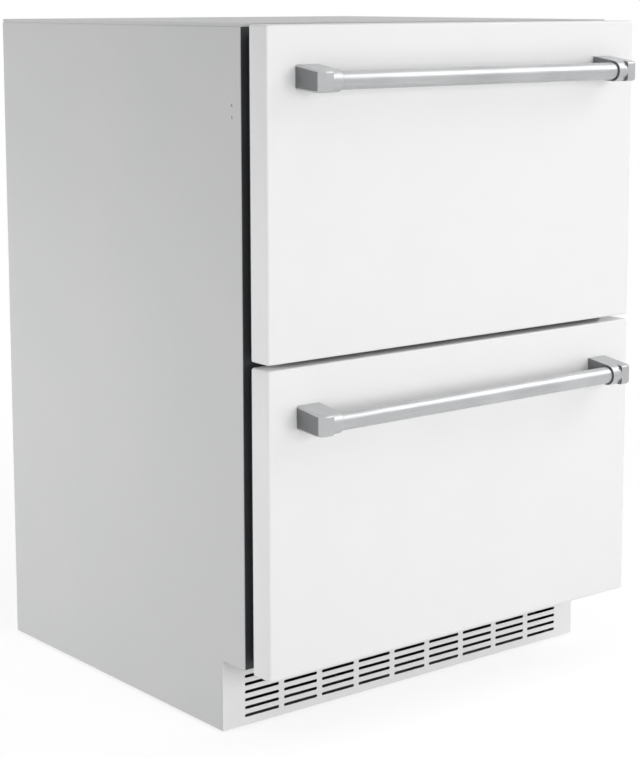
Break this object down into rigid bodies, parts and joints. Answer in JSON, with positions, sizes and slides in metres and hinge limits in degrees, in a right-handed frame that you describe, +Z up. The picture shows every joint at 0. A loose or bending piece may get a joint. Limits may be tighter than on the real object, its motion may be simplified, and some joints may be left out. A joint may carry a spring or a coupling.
{
  "type": "undercounter drawer refrigerator",
  "caption": "Undercounter refrigerator with an upper and a lower pull-out drawer, tubular bar handles, full-extension slides, a slotted kick plate and levelling legs.",
  "frame": {"origin": "on the floor, under the middle of the overall box", "axes": "+X to the right seen from the front, -Y to the front, +Z up"},
  "size_m": [0.606, 0.6508, 0.869],
  "materials": {
    "white_enamel": "satin white baked enamel",
    "silver_paint": "satin silver-grey paint",
    "dark_paint": "dark grey paint",
    "brushed_steel": "brushed along the bar",
    "zinc_steel": "galvanised",
    "copper": "drawn copper tube",
    "aluminium": "mill finish",
    "black_enamel": "black enamel",
    "black_plastic": "moulded, fine grain",
    "white_plastic": "vacuum-formed sheet",
    "grey_plastic": "moulded",
    "bin_plastic": "moulded",
    "gasket_rubber": "extruded, matt",
    "foam": "cellular foam"
  },
  "bodies": {
    "cabinet": {"side_panel_left": "silver_paint", "side_panel_right": "silver_paint", "top_panel": "silver_paint", "rear_panel": "zinc_steel", "machine_cover": "zinc_steel", "power_inlet": "black_plastic", "base_pan": "black_enamel", "kick_plate": "white_enamel", "face_frame": "dark_paint", "centre_mullion": "grey_plastic", "liner": "white_plastic", "insulation": "foam", "compressor": "black_enamel", "drain_pan": "black_plastic", "condenser": "black_enamel", "condenser_fan_shroud": "black_plastic", "filter_drier": "copper", "control_box": "black_plastic", "discharge_line": "copper", "liquid_line": "copper", "evaporator": "aluminium", "evaporator_cover": "white_plastic", "interior_lamp": "bin_plastic", "control_panel": "black_plastic", "upper_slide_outer_left": "zinc_steel", "upper_slide_outer_right": "zinc_steel", "lower_slide_outer_left": "zinc_steel", "lower_slide_outer_right": "zinc_steel"},
    "upper_drawer": {"upper_door_skin": "white_enamel", "upper_door_foam": "foam", "upper_door_inner_panel": "white_plastic", "upper_gasket": "gasket_rubber", "upper_handle_bar": "brushed_steel", "upper_handle_bracket_left": "brushed_steel", "upper_handle_bracket_right": "brushed_steel", "upper_bin": "bin_plastic", "upper_slide_inner_left": "zinc_steel", "upper_slide_inner_right": "zinc_steel"},
    "lower_drawer": {"lower_door_skin": "white_enamel", "lower_door_foam": "foam", "lower_door_inner_panel": "white_plastic", "lower_gasket": "gasket_rubber", "lower_handle_bar": "brushed_steel", "lower_handle_bracket_left": "brushed_steel", "lower_handle_bracket_right": "brushed_steel", "lower_bin": "bin_plastic", "lower_slide_inner_left": "zinc_steel", "lower_slide_inner_right": "zinc_steel"},
    "upper_slides": {"upper_slide_middle_left": "zinc_steel", "upper_slide_middle_right": "zinc_steel"},
    "lower_slides": {"lower_slide_middle_left": "zinc_steel", "lower_slide_middle_right": "zinc_steel"},
    "condenser_rotor": {"condenser_fan": "black_plastic"},
    "evaporator_rotor": {"evaporator_fan": "black_plastic"},
    "front_left_leg": {"leg_front_left": "black_plastic"},
    "front_right_leg": {"leg_front_right": "black_plastic"},
    "rear_left_leg": {"leg_rear_left": "black_plastic"},
    "rear_right_leg": {"leg_rear_right": "black_plastic"}
  },
  "joints": [
    {"name": "upper_drawer_slide", "type": "slide", "parent": "cabinet", "child": "upper_drawer", "axis": [0, -1, 0], "range_m": [0, 0.41]},
    {"name": "upper_slide_travel", "type": "slide", "parent": "cabinet", "child": "upper_slides", "axis": [0, -1, 0], "range_m": [0, 0.205]},
    {"name": "lower_drawer_slide", "type": "slide", "parent": "cabinet", "child": "lower_drawer", "axis": [0, -1, 0], "range_m": [0, 0.41]},
    {"name": "lower_slide_travel", "type": "slide", "parent": "cabinet", "child": "lower_slides", "axis": [0, -1, 0], "range_m": [0, 0.205]},
    {"name": "condenser_fan_spin", "type": "hinge", "parent": "cabinet", "child": "condenser_rotor", "pos_m": [-0.179, 0.2164, 0.0873], "axis": [1, 0, 0], "continuous": true},
    {"name": "evaporator_fan_spin", "type": "hinge", "parent": "cabinet", "child": "evaporator_rotor", "pos_m": [0, 0.2399, 0.737], "axis": [0, 1, 0], "continuous": true},
    {"name": "front_left_leg_screw", "type": "slide", "parent": "cabinet", "child": "front_left_leg", "axis": [0, 0, 1], "range_m": [-0.02, 0]},
    {"name": "front_right_leg_screw", "type": "slide", "parent": "cabinet", "child": "front_right_leg", "axis": [0, 0, 1], "range_m": [-0.02, 0]},
    {"name": "rear_left_leg_screw", "type": "slide", "parent": "cabinet", "child": "rear_left_leg", "axis": [0, 0, 1], "range_m": [-0.02, 0]},
    {"name": "rear_right_leg_screw", "type": "slide", "parent": "cabinet", "child": "rear_right_leg", "axis": [0, 0, 1], "range_m": [-0.02, 0]}
  ],
  "couplings": [
    {"joint": "upper_slide_travel", "follows": "upper_drawer_slide", "ratio": 0.5},
    {"joint": "lower_slide_travel", "follows": "lower_drawer_slide", "ratio": 0.5}
  ]
}
